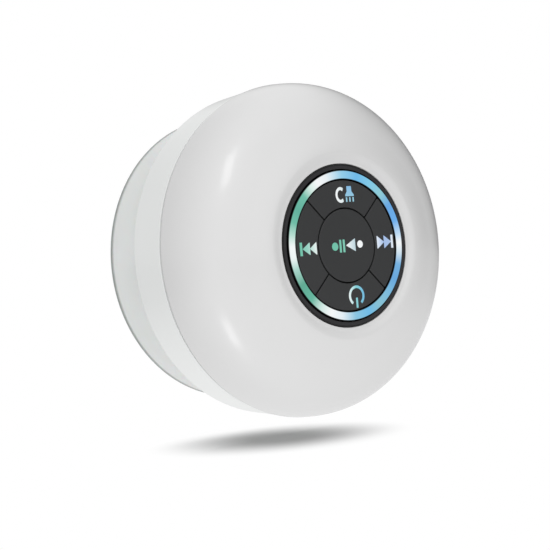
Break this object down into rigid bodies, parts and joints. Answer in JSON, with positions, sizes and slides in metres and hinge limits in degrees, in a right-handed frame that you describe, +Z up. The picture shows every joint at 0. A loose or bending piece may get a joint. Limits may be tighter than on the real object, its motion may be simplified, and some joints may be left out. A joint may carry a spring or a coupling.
{
  "type": "shower speaker",
  "caption": "Round splash-proof speaker with a domed front, lit key panel, rear-firing driver and a screw-in suction cup.",
  "frame": {"origin": "centre of the bounding box, on the speaker's axis, halfway between the wall plane and the crest of the dome", "axes": "+Y along the axis towards the wall, the key panel faces -Y; +Z up through the call key; +X through the next key"},
  "size_m": [0.086, 0.0494, 0.086],
  "materials": {
    "shell_white": "soft-touch satin white",
    "housing_white": "glossy white, slightly green",
    "cup_rubber": "milky translucent, glossy",
    "flap_rubber": "satin white rubber",
    "bezel_charcoal": "satin charcoal",
    "key_charcoal": "matte dark charcoal with lit symbols",
    "light_ring": "lit diffuser, blue to white to green",
    "silicone_dark": "matte",
    "circuit_board": "solder mask",
    "chip_black": "moulded epoxy",
    "steel": "plated",
    "ferrite": "sintered, matte",
    "copper": "enamelled wire",
    "cone_paper": "coated paper",
    "foam": "closed-cell foam",
    "cell_wrap": "laminated pouch",
    "flex": "polyimide film",
    "wire_red": "insulation",
    "wire_black": "insulation",
    "hard_plastic": "natural white"
  },
  "bodies": {
    "speaker_body": {"front_shell": "shell_white", "rear_housing": "housing_white", "case_seal": "silicone_dark", "case_screw_1": "steel", "case_screw_2": "steel", "case_screw_3": "steel", "case_screw_4": "steel", "bezel_ring": "bezel_charcoal", "light_ring": "light_ring", "keypad_mat": "silicone_dark", "key_board": "circuit_board", "switch_play": "steel", "switch_call": "steel", "switch_next": "steel", "switch_power": "steel", "switch_prev": "steel", "led_1": "hard_plastic", "led_2": "hard_plastic", "led_3": "hard_plastic", "led_4": "hard_plastic", "led_5": "hard_plastic", "led_6": "hard_plastic", "board_screw_1": "steel", "board_screw_2": "steel", "board_screw_3": "steel", "board_screw_4": "steel", "board_screw_5": "steel", "main_board": "circuit_board", "radio_chip": "chip_black", "amplifier_chip": "chip_black", "usb_socket": "steel", "microphone": "steel", "battery_cell": "cell_wrap", "battery_pad": "foam", "ribbon_cable": "flex", "battery_lead_red": "wire_red", "battery_lead_black": "wire_black", "speaker_lead_red": "wire_red", "speaker_lead_black": "wire_black", "driver_basket": "steel", "driver_top_plate": "steel", "driver_magnet": "ferrite", "driver_yoke": "steel", "driver_gasket": "foam", "acoustic_mesh": "cone_paper", "surround": "silicone_dark", "spider": "copper"},
    "call_key": {"call_key": "key_charcoal"},
    "next_key": {"next_key": "key_charcoal"},
    "power_key": {"power_key": "key_charcoal"},
    "prev_key": {"prev_key": "key_charcoal"},
    "play_key": {"play_key": "key_charcoal"},
    "port_flap": {"port_flap": "flap_rubber"},
    "cup_washer": {"cup_washer": "silicone_dark"},
    "cup": {"suction_cup": "cup_rubber", "cup_stud": "hard_plastic"},
    "cone": {"cone": "cone_paper", "dust_cap": "cone_paper", "voice_coil": "copper"}
  },
  "joints": [
    {"name": "call_key_press", "type": "slide", "parent": "speaker_body", "child": "call_key", "axis": [0, 1, 0], "range_m": [0, 0.0005]},
    {"name": "next_key_press", "type": "slide", "parent": "speaker_body", "child": "next_key", "axis": [0, 1, 0], "range_m": [0, 0.0005]},
    {"name": "power_key_press", "type": "slide", "parent": "speaker_body", "child": "power_key", "axis": [0, 1, 0], "range_m": [0, 0.0005]},
    {"name": "prev_key_press", "type": "slide", "parent": "speaker_body", "child": "prev_key", "axis": [0, 1, 0], "range_m": [0, 0.0005]},
    {"name": "play_key_press", "type": "slide", "parent": "speaker_body", "child": "play_key", "axis": [0, 1, 0], "range_m": [0, 0.0005]},
    {"name": "port_flap_hinge", "type": "hinge", "parent": "speaker_body", "child": "port_flap", "pos_m": [0.0413, 0.0043, 0], "axis": [0, 0, 1], "range_deg": [0, 110]},
    {"name": "cup_back_off", "type": "slide", "parent": "speaker_body", "child": "cup_washer", "axis": [0, 1, 0], "range_m": [0, 0.00376]},
    {"name": "cup_turn", "type": "hinge", "parent": "cup_washer", "child": "cup", "pos_m": [0, 0, 0], "axis": [0, 1, 0], "range_deg": [0, 1080]},
    {"name": "cone_excursion", "type": "slide", "parent": "speaker_body", "child": "cone", "axis": [0, 1, 0], "range_m": [-0.001, 0.001]}
  ],
  "couplings": [
    {"joint": "cup_back_off", "follows": "cup_turn", "m_per_rad": 0.00019894}
  ]
}
